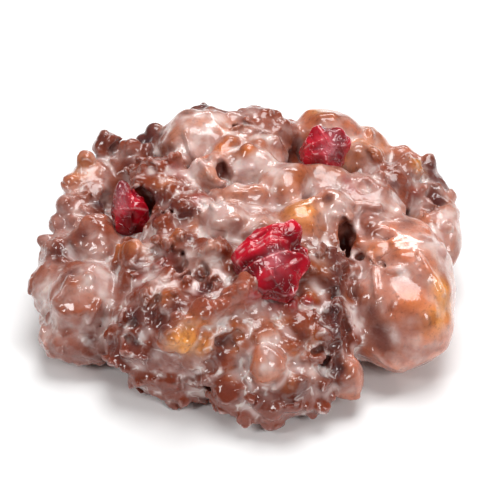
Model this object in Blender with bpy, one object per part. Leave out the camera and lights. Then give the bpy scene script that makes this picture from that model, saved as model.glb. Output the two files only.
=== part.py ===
"""Cherry fritter: one craggy lump of fried dough with three candied cherries sunk in its top.

The dough is a pile of overlapping lobes with smaller crags on them, fused into one skin and cut flat where
it rests. Each cherry is a shrunken fruit of its own, in a pocket that fits it. Metres, +Z up, the long
smooth lobe along +X, the egg-shaped bump in front at -Y, and the origin under the middle at the base.
"""

import math
import random
from collections import namedtuple

import bmesh
import bpy
from mathutils import Matrix, Vector, noise

MM = 0.001

# Driving dimensions
POCKET_GAP = 0.35 * MM  # air between a cherry and its pocket
VOXEL = 0.8 * MM  # cell of the skin that fuses the lobes
PIT_VOXEL = 0.4 * MM
DOUGH_TRIANGLES = 9300
CHERRY_TRIANGLES = 800
SEED = 37

# Detail of the balls that lobes, crags, holes and cherries start from
LOBE_DETAIL, CRAG_DETAIL, HOLE_DETAIL, CHERRY_DETAIL = 4, 2, 3, 5

# Crags, in millimetres: small ones are the commonest
CRAG_SMALL, CRAG_LARGE = 2.3, 4.8
CRAG_SPACING = 4.0  # between the places where one may grow
CRAG_NUDGE = 1.2  # how far such a place moves at random, as a share of their distance
CRAG_PROUD = 0.38  # share of a crag that stands out of its lobe
CRAG_CLEAR = 0.8  # how near two crags may lie, as a share of their sizes together
CRAG_SQUASH = (0.6, 1.1)
HIDDEN = 0.97  # a place this deep in another lobe grows no crag, as a share of that lobe's size

# Pits, in millimetres: bubbles that burst in the frying
PIT_SMALL, PIT_LARGE = 1.0, 1.9
PIT_SHARE = 0.22  # of the crags, how many have a pit beside them
PIT_STRETCH = 1.3
PIT_PROUD = 0.3  # how far its middle lies above the lobe, as a share of its size

# The flat sides that a shrunken cherry dries into: directions, and how far out each lies
FLATS = (
    ((-0.4, 0.15, 0.9), 0.80),
    ((0.3, -0.3, 0.95), 0.86),
    ((-0.8, -0.55, 0.3), 0.84),
    ((0.85, -0.45, 0.3), 0.84),
    ((0.05, -0.85, 0.5), 0.92),
    ((0.75, 0.2, 0.65), 0.84),
    ((-0.1, -0.9, -0.4), 0.90),
    ((0.7, -0.6, -0.5), 0.92),
    ((-0.75, 0.6, 0.1), 0.88),
    ((0.3, 0.95, 0.1), 0.88),
    ((0.0, 0.0, -1.0), 0.92),
)
FLAT_EDGE = 9  # the higher, the sharper the edges between the flat sides
FLAT_MOST = 1.1

# Folds of a cherry's skin: how closely they lie, and how deep, first the broad ones and then the fine ones
FOLD_SPREAD = (1.15, 2.65)
FOLD_SHARE = (1.0, 0.25)
FOLD_SHARPNESS = 4

# A lobe of dough: centre, half sizes, turn about Z and nose-up tilt about its own X, in millimetres and
# degrees. crags is how rough it is, from 0 for a smooth bulge to 1.
Lobe = namedtuple("Lobe", "x y z rx ry rz turn tilt crags", defaults=(0, 0, 1.0))

BODY = (
    Lobe(0, -3, 12.5, 46, 40, 17, crags=0.8),
    Lobe(2, -4, 21, 32, 28, 11, crags=0),
)

THUMB = (  # the long smooth lobe along the right
    Lobe(42, -7, 20.5, 12.5, 12, 10, tilt=5, crags=0),
    Lobe(43, -17, 17.5, 13.5, 16, 13.5, tilt=8, crags=0),
    Lobe(41, -26, 12.5, 12.5, 13, 12, crags=0),
    Lobe(45, -24.5, 14.5, 9, 11, 11.5, turn=10, crags=0),
)

RIGHT_SIDE = (
    Lobe(27, -42.5, 10.5, 5, 5, 6.5, crags=0),
    Lobe(54.5, 9, 14.5, 8, 13.5, 9.5, turn=4, crags=0.2),
    Lobe(51, 25, 16, 7.5, 8, 8, crags=0.2),
    Lobe(45, 32, 19, 7.5, 7, 7, turn=-30, crags=0.1),
    Lobe(33, 27, 26, 7, 7, 6, crags=0.2),
    Lobe(42, 20, 24, 8, 7, 6, turn=20, crags=0.3),
    Lobe(33, 8, 27, 11, 10, 7, crags=0.3),
    Lobe(38, 0, 26, 7, 5, 5, crags=0.4),
)

BACK = (
    Lobe(35, 36.5, 21.5, 9, 8, 8.5, turn=-20, crags=0.1),
    Lobe(24, 37, 27, 10, 9, 9, turn=-10, crags=0),
    Lobe(10, 34, 28.5, 5, 7, 7, crags=0.2),
    Lobe(2.5, 35.5, 31, 8.5, 8, 7.5, crags=0.15),
    Lobe(-13, 30, 31, 12, 11, 9.5, turn=10, crags=0),  # the pale round bulge
    Lobe(-12, 39, 27.5, 9, 7, 8, crags=0.2),
    Lobe(-26, 33, 23.5, 4, 6, 8, turn=35, tilt=-15, crags=0),
    Lobe(-31, 27, 20.5, 9, 9, 9, turn=20, crags=0.6),
    Lobe(-31, 33, 10, 13, 10, 10, turn=25, crags=0.9),
    Lobe(-12, 39, 13, 13, 10, 12, crags=0.9),
    Lobe(9, 39, 12, 13, 10, 12, crags=0.9),
    Lobe(30, 36, 10, 14, 10, 10, turn=-20, crags=0.9),
    Lobe(47, 22, 8, 9, 12, 8.5, turn=15, crags=0.7),
    Lobe(-45, 15, 8, 9, 14, 9, turn=-8, crags=0.7),
)

LEFT_SIDE = (
    Lobe(-40, 32, 22, 3.8, 5, 10, tilt=-8, crags=0),  # the pointed crag
    Lobe(-44.2, 22, 19, 8, 9, 9, crags=0.1),
    Lobe(-46.5, 9, 18, 7.5, 8, 9, crags=0.2),
    Lobe(-48, -3, 15, 8, 8, 9, crags=0.1),
    Lobe(-50.5, -13, 14, 8, 8, 8, crags=0),
    Lobe(-44.5, -23.5, 8.5, 11.5, 11, 8.5, crags=0),
    Lobe(-43, -20.5, 17.5, 9.5, 10.5, 9.5, turn=-20, crags=0),
    Lobe(-41, -4, 23, 7, 7, 6.5, crags=0),
)

FRONT = (
    Lobe(-6, -24, 16, 30, 22, 16, crags=1),
    Lobe(13, -29, 14, 18, 17, 14, crags=1),
    Lobe(-22, -31, 12.5, 14, 12.5, 12, crags=1),
    Lobe(8, -45, 9, 16, 9, 9, crags=0.5),
    Lobe(-16, -37.5, 6, 14, 7.5, 7, turn=-8, crags=0.5),
    Lobe(-17, -43, 26, 6.5, 4, 4, turn=29, crags=0),  # a strap of dough from here up to the front cherry
    Lobe(-9, -39, 30, 7, 3.6, 4, turn=29, crags=0),
    Lobe(-1, -34.5, 32.5, 6, 3.6, 4, turn=29, crags=0),
    Lobe(5.5, -48.5, 20.5, 4.8, 4.8, 5.8, tilt=-20, crags=0),  # the egg-shaped bump
)

TOP = (
    Lobe(-9, 13, 34, 7, 6, 5.5, turn=30, crags=0),  # a swirl of dough round two pits
    Lobe(2, 15, 34.5, 8.5, 5, 5, turn=-5, crags=0),
    Lobe(11, 8, 33.5, 7, 8, 5.5, turn=-30, crags=0),
    Lobe(-1, 2, 33.5, 8, 4.5, 5, crags=0),
    Lobe(2, 24, 31, 10, 8, 7, crags=0.5),
    Lobe(15, -5, 30.5, 7, 6, 6, turn=20, crags=0),
    Lobe(24, -1, 29.5, 6, 8, 7, turn=20, crags=0.2),
    Lobe(22, 12, 29, 9, 9, 7, crags=0),
    Lobe(-5, -7, 32.5, 7, 6, 5.5, crags=0.3),
    Lobe(4, -11, 31, 6, 5, 5, crags=0.3),
    Lobe(-14, -1, 31, 6, 7, 6, crags=0.3),
    Lobe(-19, 6, 30, 7, 7, 6, crags=0.6),
    Lobe(-24, 13, 29, 8, 8, 7, crags=0.9),
    Lobe(-23, -6, 28, 6, 7, 6, crags=0.6),
    Lobe(-18, -15, 29, 7, 6, 6, crags=0.6),
    Lobe(-28, -15, 25, 6, 6, 6, crags=0.6),
    Lobe(-9, -19, 30, 7, 6, 6, crags=0.5),
    Lobe(-21, -27, 25, 7, 6, 6, crags=0.6),
    Lobe(18, -20, 27, 9, 8, 7, crags=0.5),
)

DOUGH = BODY + THUMB + RIGHT_SIDE + BACK + LEFT_SIDE + FRONT + TOP

# Deep holes that show from above: centre and half sizes
Hole = namedtuple("Hole", "x y z rx ry rz turn tilt", defaults=(0, 0))
HOLES = (
    Hole(26.5, -8, 28, 3, 6.5, 8, turn=5),
    Hole(28.5, -26, 26, 2.4, 6, 5, turn=5),
    Hole(27, -38, 21, 2.4, 6, 6, turn=8, tilt=20),
    Hole(37.5, -9, 31, 3.4, 2.2, 4),
    Hole(-5.5, 9.5, 36.5, 2.4, 2.8, 4),
    Hole(1, 7, 37, 2.6, 1.4, 3, turn=15),
    Hole(-31, 1, 30, 7, 8, 6),
)

# A cherry: centre, half sizes, turn about Z and tilt about its own X as for a lobe, how deep its folds are,
# which folds they are, how far its flat sides are turned, and the corners where its skin is drawn out. A
# corner is a direction, how far it stands out as a share of the half sizes, and how sharp it is.
Corner = namedtuple("Corner", "x y z reach sharpness")
Cherry = namedtuple("Cherry", "name x y z rx ry rz turn tilt folds seed twist corners")

CHERRIES = (
    Cherry(
        "cherry_front", 6.5, -25.5, 34, 9, 9.8, 8.6, 0, 15, 0.04, 3, 0,
        (
            Corner(0.75, 0.7, 0.5, 0.42, 18),
            Corner(1.0, 0.0, 0.3, 0.28, 14),
            Corner(-0.9, 0.3, 0.4, 0.15, 8),
            Corner(0.6, -0.9, 0.2, 0.3, 10),
            Corner(-0.5, -0.9, 0.2, 0.15, 8),
        ),
    ),
    Cherry(
        "cherry_left", -32, 2, 28.5, 5.4, 5.6, 8, 10, 0, 0.03, 5, 140,
        (
            Corner(-0.25, 0.2, 1.0, 0.42, 9),
            Corner(0.9, -0.5, 0.1, 0.15, 10),
        ),
    ),
    Cherry(
        "cherry_back", 21.5, 19.5, 35.5, 6.6, 6.8, 7.4, 0, 10, 0.05, 8, 60,
        (
            Corner(-0.2, 0.4, 1.0, 0.3, 14),
            Corner(1.0, 0.2, 0.3, 0.35, 16),
            Corner(0.6, 0.3, 0.8, 0.25, 16),
        ),
    ),
)


def clear_scene():
    for obj in list(bpy.data.objects):
        bpy.data.objects.remove(obj)


def material(name, colour, roughness, coat):
    made = bpy.data.materials.new(name)
    made.use_nodes = True
    shader = made.node_tree.nodes["Principled BSDF"]
    shader.inputs["Base Color"].default_value = (*colour, 1)
    shader.inputs["Roughness"].default_value = roughness
    shader.inputs["Coat Weight"].default_value = coat
    return made


def turned(x=0.0, y=0.0, z=0.0):
    """The turn about Z after the one about Y after the one about X, in degrees."""
    return (
        Matrix.Rotation(math.radians(z), 4, "Z")
        @ Matrix.Rotation(math.radians(y), 4, "Y")
        @ Matrix.Rotation(math.radians(x), 4, "X")
    )


def placed(shape):
    """The matrix that takes a unit ball to a lobe or a hole."""
    return (
        Matrix.Translation(Vector((shape.x, shape.y, shape.z)) * MM)
        @ turned(x=shape.tilt, z=shape.turn)
        @ Matrix.Diagonal((shape.rx * MM, shape.ry * MM, shape.rz * MM, 1))
    )


def add_ball(bm, matrix, subdivisions):
    bmesh.ops.create_icosphere(bm, subdivisions=subdivisions, radius=1, matrix=matrix)


def spread_directions(count, draw):
    """count unit vectors, evenly spread along a spiral over the ball, each nudged at random."""
    golden_angle = math.pi * (3 - math.sqrt(5))
    nudge = CRAG_NUDGE / math.sqrt(count)
    for i in range(count):
        z = 1 - 2 * (i + 0.5) / count
        across = math.sqrt(1 - z * z)
        angle = i * golden_angle
        direction = Vector((across * math.cos(angle), across * math.sin(angle), z))
        direction += Vector([draw.uniform(-nudge, nudge) for _ in range(3)])
        yield direction.normalized()


def crag_places(lobe, others, draw):
    """Points on a lobe's surface, outside the other lobes, with the outward direction there."""
    matrix = placed(lobe)
    area = 4 * math.pi * (lobe.rx * lobe.ry * lobe.rz) ** (2 / 3)
    count = max(4, round(area / CRAG_SPACING**2))
    for direction in spread_directions(count, draw):
        wanted = draw.random() < lobe.crags
        point = matrix @ direction
        hidden = any((other @ point).length < HIDDEN for other in others)
        if wanted and not hidden and point.z > 0:
            outward = (matrix.to_3x3().inverted().transposed() @ direction).normalized()
            yield point, outward


def random_turn(draw):
    return turned(*[draw.uniform(0, 360) for _ in range(3)])


def crag_matrix(point, outward, size, draw):
    middle = point + outward * size * (2 * CRAG_PROUD - 1)
    sizes = [size * draw.uniform(*CRAG_SQUASH) for _ in range(3)]
    return Matrix.Translation(middle) @ random_turn(draw) @ Matrix.Diagonal((*sizes, 1))


def pit_matrix(point, outward, size, draw):
    sideways = outward.orthogonal().normalized()
    sideways.rotate(Matrix.Rotation(draw.uniform(0, 2 * math.pi), 3, outward))
    middle = point + sideways * CRAG_LARGE * MM + outward * size * PIT_PROUD
    sizes = (size, size, size * PIT_STRETCH)
    return Matrix.Translation(middle) @ random_turn(draw) @ Matrix.Diagonal((*sizes, 1))


def object_of(name, bm):
    mesh = bpy.data.meshes.new(name)
    bm.to_mesh(mesh)
    bm.free()
    obj = bpy.data.objects.new(name, mesh)
    bpy.context.scene.collection.objects.link(obj)
    return obj


def hide(obj):
    """Marks a cutter, which is no part of the fritter."""
    obj.hide_render = True
    obj.display_type = "WIRE"


def apply_modifiers(obj):
    bpy.context.view_layer.update()
    evaluated = obj.evaluated_get(bpy.context.evaluated_depsgraph_get())
    mesh = bpy.data.meshes.new_from_object(evaluated)
    obj.modifiers.clear()
    obj.data = mesh


def fuse(obj, voxel, smoothing):
    """Makes one skin round everything in obj, and softens the creases where the lobes meet."""
    remesh = obj.modifiers.new("Fuse", "REMESH")
    remesh.mode = "VOXEL"
    remesh.voxel_size = voxel
    if smoothing:
        soften = obj.modifiers.new("Soften", "SMOOTH")
        soften.factor = 0.5
        soften.iterations = smoothing
    apply_modifiers(obj)


def subtract(obj, cutter):
    cut = obj.modifiers.new("Cut", "BOOLEAN")
    cut.operation = "DIFFERENCE"
    cut.object = cutter
    apply_modifiers(obj)


def keep_largest_shell(obj):
    """Drops the loose scraps and inner bubbles that fusing can leave."""
    bm = bmesh.new()
    bm.from_mesh(obj.data)
    left = set(bm.verts)
    shells = []
    while left:
        shell, front = set(), [left.pop()]
        while front:
            vertex = front.pop()
            shell.add(vertex)
            near = {edge.other_vert(vertex) for edge in vertex.link_edges} & left
            left -= near
            front.extend(near)
        shells.append(shell)
    largest = max(shells, key=len)
    loose = [vertex for vertex in bm.verts if vertex not in largest]
    bmesh.ops.delete(bm, geom=loose, context="VERTS")
    bm.to_mesh(obj.data)
    bm.free()


def make_dough(draw):
    """The lobes with their crags as one skin, less the pits and holes."""
    balls, cutters = bmesh.new(), bmesh.new()
    inverses = {lobe: placed(lobe).inverted() for lobe in DOUGH}
    crags = []
    for lobe in DOUGH:
        add_ball(balls, placed(lobe), LOBE_DETAIL)
        others = [inverse for other, inverse in inverses.items() if other is not lobe]
        for point, outward in crag_places(lobe, others, draw):
            size = (CRAG_SMALL + (CRAG_LARGE - CRAG_SMALL) * draw.random() ** 2) * MM
            if any((point - other).length < CRAG_CLEAR * (size + reach) for other, reach in crags):
                continue
            crags.append((point, size))
            add_ball(balls, crag_matrix(point, outward, size, draw), CRAG_DETAIL)
            if draw.random() < PIT_SHARE:
                pit = draw.uniform(PIT_SMALL, PIT_LARGE) * MM
                add_ball(cutters, pit_matrix(point, outward, pit, draw), CRAG_DETAIL)
    for hole in HOLES:
        add_ball(cutters, placed(hole), HOLE_DETAIL)
    dough = object_of("fritter", balls)
    fuse(dough, VOXEL, smoothing=1)
    pits = object_of("pits", cutters)
    fuse(pits, PIT_VOXEL, smoothing=0)
    hide(pits)
    subtract(dough, pits)
    fuse(dough, VOXEL, smoothing=1)
    keep_largest_shell(dough)
    bpy.data.objects.remove(pits)
    return dough


def thin_out(obj, triangles):
    """Brings the mesh down to this many triangles, fewest where it is flattest."""
    now = sum(len(face.vertices) - 2 for face in obj.data.polygons)
    decimate = obj.modifiers.new("Thin", "DECIMATE")
    decimate.ratio = triangles / now
    decimate.use_collapse_triangulate = True
    apply_modifiers(obj)


def cut_flat(obj):
    """Cuts away what lies under the table's top, and closes the cut with flat faces."""
    bm = bmesh.new()
    bm.from_mesh(obj.data)
    everything = bm.verts[:] + bm.edges[:] + bm.faces[:]
    bmesh.ops.bisect_plane(
        bm, geom=everything, dist=1e-6, plane_co=(0, 0, 0), plane_no=(0, 0, -1), clear_outer=True
    )
    rim = [edge for edge in bm.edges if edge.is_boundary]
    bmesh.ops.holes_fill(bm, edges=rim, sides=0)
    bmesh.ops.triangulate(bm, faces=bm.faces[:])
    bmesh.ops.recalc_face_normals(bm, faces=bm.faces[:])
    bm.to_mesh(obj.data)
    bm.free()


def cherry_radius(cherry, direction):
    """How far the skin lies along a direction, as a share of the half sizes."""
    way = turned(z=cherry.twist).to_3x3() @ direction
    near = sum((max(0.0, way.dot(Vector(side).normalized())) / far) ** FLAT_EDGE for side, far in FLATS)
    reach = min(FLAT_MOST, near ** (-1 / FLAT_EDGE))
    for corner in cherry.corners:
        to_corner = Vector((corner.x, corner.y, corner.z)).normalized()
        reach += corner.reach * math.exp((direction.dot(to_corner) - 1) * corner.sharpness)
    for spread, share in zip(FOLD_SPREAD, FOLD_SHARE):
        place = direction * spread + Vector((cherry.seed, 0, 0))
        reach += cherry.folds * share * (1 - FOLD_SHARPNESS * abs(noise.noise(place)))
    return reach


def make_cherry(cherry):
    """One shrunken cherry."""
    bm = bmesh.new()
    bmesh.ops.create_icosphere(bm, subdivisions=CHERRY_DETAIL, radius=1)
    for vertex in bm.verts:
        direction = vertex.co.normalized()
        vertex.co = direction * cherry_radius(cherry, direction)
    bmesh.ops.transform(bm, matrix=placed(cherry), verts=bm.verts)
    fruit = object_of(cherry.name, bm)
    thin_out(fruit, CHERRY_TRIANGLES)
    return fruit


def make_pocket(fruit):
    """The cutter for a cherry's pocket: the cherry with its skin moved out by the gap."""
    bm = bmesh.new()
    bm.from_mesh(fruit.data)
    bm.normal_update()
    for vertex, outward in [(vertex, vertex.normal.copy()) for vertex in bm.verts]:
        vertex.co += outward * POCKET_GAP
    pocket = object_of("pocket", bm)
    hide(pocket)
    return pocket


def set_origin(objects):
    """Moves everything so that the origin lies under the middle of the whole, on the table."""
    corners = [vertex.co for obj in objects for vertex in obj.data.vertices]
    low = Vector([min(corner[axis] for corner in corners) for axis in range(3)])
    high = Vector([max(corner[axis] for corner in corners) for axis in range(3)])
    shift = Vector((-(low.x + high.x) / 2, -(low.y + high.y) / 2, -low.z))
    for obj in objects:
        obj.data.transform(Matrix.Translation(shift))


def main():
    clear_scene()
    draw = random.Random(SEED)
    crust = material("glazed_crust", (0.30, 0.12, 0.08), roughness=0.25, coat=0.6)
    skin = material("candied_cherry", (0.36, 0.01, 0.03), roughness=0.15, coat=0.6)

    dough = make_dough(draw)
    thin_out(dough, DOUGH_TRIANGLES)
    cut_flat(dough)

    cherries = [make_cherry(cherry) for cherry in CHERRIES]
    for fruit in cherries:
        pocket = make_pocket(fruit)
        subtract(dough, pocket)
        bpy.data.objects.remove(pocket)
        fruit.data.materials.clear()
        fruit.data.materials.append(skin)
    keep_largest_shell(dough)
    dough.data.materials.clear()
    dough.data.materials.append(crust)

    set_origin([dough, *cherries])
    for obj in [dough, *cherries]:
        obj.data.shade_smooth()


main()
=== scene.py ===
import math
import random
from collections import namedtuple

import bmesh
import bpy
import numpy as np
from mathutils import Matrix, Vector, noise


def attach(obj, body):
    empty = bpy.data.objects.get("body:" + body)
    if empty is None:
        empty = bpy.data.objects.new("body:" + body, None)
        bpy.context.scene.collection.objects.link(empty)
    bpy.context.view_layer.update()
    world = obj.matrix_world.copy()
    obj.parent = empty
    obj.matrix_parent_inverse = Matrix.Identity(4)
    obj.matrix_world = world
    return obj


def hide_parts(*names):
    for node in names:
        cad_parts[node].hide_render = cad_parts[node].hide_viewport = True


MM = 0.001
TINY, SLIVER = 1e-6, 1e-12  # added to what is divided by, so that it is never 0
SHIFT = Vector((-1.941, 2.829, 0))  # from the layout below to the frame, in millimetres

# The field
CELL = 0.45  # its step, in millimetres
FAR = 3.0  # distances are kept within this
NEAR = 0.9  # share of that within which a skin may be shifted
MARGIN = 4.0  # empty room round the lobes
INSIDE = 1.001  # how many steps before the grid's end a point still has a next one
BELL_REACH = 2.5  # how far a bell curve is followed, as a share of its width
SKIN_STEPS = 4  # taken to bring a point onto a skin

# The dough's relief, as in the solid
SEED = 37
CRAG_SMALL, CRAG_LARGE = 2.3, 4.8
CRAG_SPACING = 4.0
CRAG_LEAST = 4
CRAG_NUDGE = 1.2
CRAG_PROUD = 0.38
CRAG_CLEAR = 0.8
CRAG_SQUASH = (0.6, 1.1)
HIDDEN = 0.97  # a point is hidden within this share of another lobe's size
PIT_SMALL, PIT_LARGE = 1.0, 1.9
PIT_SHARE = 0.22
PIT_STRETCH = 1.3

# How softly shapes run into each other, in millimetres
LOBE_BLEND = 0.7
CRAG_BLEND = 0.8
PEBBLE_BLEND = 0.9
PIT_BLEND = 0.4
HOLLOW_BLEND = 1.2

# Pebbles: the finer lumps that the solid leaves out
PEBBLE_SMALL, PEBBLE_LARGE = 1.5, 3.0
PEBBLE_BIAS = 1.5  # above 1, small ones are the commonest
PEBBLE_CLEAR = 0.85
PEBBLE_SUNK = 0.15  # how deep its middle lies, as a share of its size
PEBBLE_WIDE = (0.75, 1.3)
PEBBLE_TALL = (0.30, 0.60)
PEBBLE_LEAN = 15  # in degrees
PEBBLE_FLOOR = 0.5  # lowest place of one
PEBBLE_FAR = 1.2
PEBBLE_TRIES = 30000
SHRINK = 0.45  # how far the lobes and crags lie inside the solid's, which the pebbles and glaze make up for

FRITTER_TRIANGLES = 190000
BOX_CORNERS = [(x, y, z) for x in (-1, 1) for y in (-1, 1) for z in (-1, 1)]

# The glaze: how wide a crease it fills, how softly it ends, and how much it varies from place to place
GLAZE_SPREAD = 1.35
GLAZE_BLEND = 0.4
GLAZE_PATCH = 6.0
GLAZE_PATCHY = 0.9
THICKNESS_SPREAD = 0.5
# How widely the dough is blurred to find how enclosed each point is, for the painted shade in hollows
SHADE_DEPTH_SPREAD = 2.6
VALLEY_SPREAD = 1.3

# Random bulges: their size, height and seed
WOBBLES = ((7.0, 0.5, 10), (2.6, 0.22, 11), (1.3, 0.08, 12))

# Cracks: their size, depth and seed, and how wide one is, as a share of its size
CRACKS = ((5.0, 0.5, 40), (3.0, 0.25, 41))
CRACK_WIDTH = 0.16

# Sideways shifts: their size, reach and seed
WARPS = ((6.0, 1.3, 20), (2.6, 0.4, 30))
HOLLOW_WARPS = ((6.0, 1.3, 20), (2.2, 0.9, 30))

# A look: the crust's colour, how milky the glaze on it is, how thick the glaze lies in millimetres, how many
# pebbles it has, from 0 to 1, and how strongly it is roughened
Look = namedtuple("Look", "crust milk glaze pebbles wobble")
LOOK_BLEND = 0.8
LOOKS = {
    "crust": Look((0.23, 0.038, 0.013), 0.03, 0.12, 0.8, 1.6),
    "brown": Look((0.27, 0.056, 0.024), 0.14, 0.08, 0.4, 0.9),
    "strap": Look((0.34, 0.078, 0.040), 0.04, 0.04, 0.1, 1.0),
    "dark": Look((0.11, 0.030, 0.026), 0.08, 0.10, 0.2, 0.9),
    "orange": Look((0.52, 0.145, 0.065), 0.26, 0.10, 0.0, 0.30),
    "gold": Look((0.62, 0.20, 0.075), 0.24, 0.08, 0.0, 0.35),
    "pale": Look((0.48, 0.16, 0.085), 0.42, 0.12, 0.0, 0.20),
    "peach": Look((0.60, 0.185, 0.095), 0.20, 0.10, 0.0, 0.30),
    "rose": Look((0.35, 0.095, 0.050), 0.24, 0.10, 0.05, 0.40),
    "flake": Look((0.34, 0.10, 0.060), 0.27, 0.10, 0.15, 1.2),
}

# What a patch does: the crust's colour there and how milky the glaze on it is
PATCHES = {
    "gold": ((1.0, 0.42, 0.09), -0.02),
    "orange": ((0.58, 0.16, 0.04), 0.05),
    "red": ((0.34, 0.012, 0.02), 0.10),
    # Dark patches are painted shade in crevices, hollows and under overhangs, as well as darker crust on some
    # lumps; no glaze pools on them
    "dark": ((0.058, 0.022, 0.027), -0.15),
    "pale": ((0.60, 0.27, 0.17), 0.75),
    "white": ((0.80, 0.66, 0.62), 1.3),
}
RUN_STEP = 0.5  # between the beads of a run, in millimetres
RUN_SINK = 0.15
RUN_CLEAR = 0.8  # how much clearer a run is than glaze that thick would be
RUN_ENDS = 0.5  # how wide a run is at its ends, as a share of its middle
RUN_BLEND = 1.2
RUN_ROUND = 3  # how many beads a corner of a run is rounded over, each way
ROUNDING = np.full(2 * RUN_ROUND + 1, 1 / (2 * RUN_ROUND + 1))
RUN_SWAY, RUN_SWAY_SIZE = 1.0, 4.0
SIGHT_REACH = 80.0  # how far before and behind the middle of the view a sight line is followed
DIP_BALLS = 6  # hollows are made of this many balls
DIP_LOOSE = 0.5  # how far the balls lie from each other, as a share of the reach
DIP_SHARE = (0.3, 0.8)
DIP_DEPTHS = (0.6, 1.2)

CRUST_DARK = (0.17, 0.030, 0.014)
CRUST_DEEP = (0.08, 0.016, 0.008)
# Painted shade: the colour that enclosed hollows and crevices are darkened towards
CAVITY_SHADE = (0.13, 0.030, 0.022)
MILK_PINK = (0.55, 0.345, 0.32)
MILK_CREAM = (0.79, 0.65, 0.61)
# The whitest glaze; also the colour of the lines painted as highlights along glaze ridges
MILK_WHITE = (0.88, 0.80, 0.77)
VALLEY_MILK = 0.3  # how much milkier each millimetre of hollow is
# How much the pale lines along glaze ridges, painted as highlights, add to the glaze's cover
WEB_HIGHLIGHT_MILK = 0.42
COVER_MOST = 0.72
# How far the painted shade in hollows goes towards that colour
HOLLOW_SHADE_MOST = 0.8

# Noise in the materials: the size of its features in millimetres, its detail, roughness and distortion
BLOTCHES = (6.0, 3, 0.5)
SPECKS = (1.3, 3, 0.6)
WISPS = (3.6, 2, 0.4, 0.2)
DRIFTS = (9.0, 2, 0.5)
WEBS = (5.5, 3, 0.45, 0.5)
GRAIN = (0.7, 3, 0.6)
RIPPLES = (2.2, 2, 0.5)
CHERRY_BLOTCHES = (6.0, 1, 0.5)
CHERRY_SMEARS = (4.5, 5, 0.6, 0.8)
CHERRY_BREAKS = (2.5, 2, 0.5)
CHERRY_CREASES = (5.0, 2, 0.4, 0.6)
FLOOR_MOTTLES = (40.0,)

# What a noise or a mark becomes: where that starts and ends, and the values there where they aren't 0 and 1
BLOTCH_DARK = (0.35, 0.65, 0.0, 0.55)
SPECK_DARK = (0.5, 0.75, 0.0, 0.5)
# Painted shade in hollows: how enclosed or how sunk a point must be for its crust to darken, and how much
# glaze is left on it there
DEPTH_SHADE = (0.3, 1.2)
SUNK_SHADE = (0.5, 3.0)
SHADE_COVER = (0.1, 0.9, 1.0, 0.05)
DRIFT_FILM = (0.35, 0.65, 0.25, 1.8)
WISP_FILM = (0.3, 0.7, 0.8, 1.2)
WISP_CREAM = (0.3, 0.7)
THICK_POOL = (0.06, 0.75)
MILK_POOL = (-0.12, 0.06)
THICK_WHITE = (0.45, 1.1)
THICK_WEB = (0.06, 0.35)
WISP_WEB = (0.40, 0.55)
GRAIN_COARSE = (0.3, 1.2, 0.2, 1.0)
POOL_CALM = (0.0, 1.0, 1.0, 0.3)
SPECK_ROUGHNESS = (0.3, 0.7, 0.22, 0.42)
TONE_BRIGHT = (0.3, 0.8)
SMEAR_MILK = (0.3, 0.6, 0.35, 0.85)
STRAY_MILK = (0.60, 0.75, 0.0, 0.4)
LINE_BREAKS = (0.46, 0.60)

# Bumps: how strong and, in millimetres, how high
GRAIN_BUMP = (0.35, 0.10)
RIPPLE_BUMP = (0.5, 0.35)
WET_GRAIN_BUMP = (0.25, 0.05)
WET_RIPPLE_BUMP = (0.4, 0.35)
WEB_BUMP = (0.9, 0.30)
CHERRY_RIPPLE_BUMP = (0.2, 0.15)
CHERRY_CREASE_BUMP = (0.7, 0.3)

CHERRY_DETAIL = 6
FOLD_STEPS = 40
# The pale line along a fold is a painted highlight
CREST_HIGHLIGHT_WIDTH = 1.5  # of the pale line along a fold, in degrees
FOLD_ENDS = 0.06  # how blunt a fold ends
FOLD_EDGE = 1.0
WRINKLE_SPREAD, WRINKLE_DEPTH = 2.0, 0.02
WRINKLE_WARP = 0.5
WRINKLE_SIDES = ((10, 0, 0), (0, 10, 0), (0, 0, 10))  # where the noise for a shift along each axis is read
WRINKLE_SEED = 7
# The cherry's deep and bright reds, mixed by random blotches and by painted light and shade on the folds
CHERRY_DEEP = (0.15, 0.0004, 0.004)
CHERRY_BRIGHT = (0.52, 0.004, 0.020)
CHERRY_SMEAR = (0.58, 0.15, 0.18)
# Painted highlight: the pale colour of the lines along the folds' crests, and how far they go towards it
CHERRY_HIGHLIGHT_LINE = (0.95, 0.66, 0.68)
# Painted light and shade: what stands proud is painted brighter, and what sinks into a crease darker, by this
# much
CHERRY_RISE_SHADING = 3.0  # how much brighter what stands proud is
CHERRY_HIGHLIGHT_MOST = 0.65
WEB_WIDTH, CREASE_WIDTH = 0.06, 0.04

FLOOR_SIZE = 6.0
FLOOR_WHITE = (0.9, 0.9, 0.9)
FLOOR_VARIES = 0.98
FLOOR_ROUGHNESS = 0.6

SKY = 0.13
LIGHT_TARGET = (0, 0, 0.02)
# A light: its name, place, size and power
LIGHTS = (
    ("overhead", (0.06, 0.16, 0.74), (0.54, 0.44), 4.7),
    ("left_front", (-0.50, -0.32, 0.50), (0.16, 0.28), 1.6),
    ("right_front", (0.50, -0.46, 0.46), (0.26, 0.38), 2.6),
    ("back", (0.10, 0.60, 0.45), (0.50, 0.12), 1.8),
)

CAMERA_TARGET = (1.3, 0.0, 16.2)
CAMERA_ELEVATION = 42
CAMERA_DISTANCE = 0.42
CAMERA_LENS, CAMERA_SENSOR = 108, 36

# An egg-shaped part of the dough: its middle, its half sizes, its look, how craggy it is, from 0 to 1, and
# how it is turned about Z and about X, in degrees
Lobe = namedtuple("Lobe", "x y z rx ry rz look crags turn tilt", defaults=("crust", 0, 0, 0))

BODY = (
    Lobe(0, -3, 12.5, 46, 40, 17, crags=0.8),
    Lobe(2, -4, 21, 32, 28, 11),
)

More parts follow.
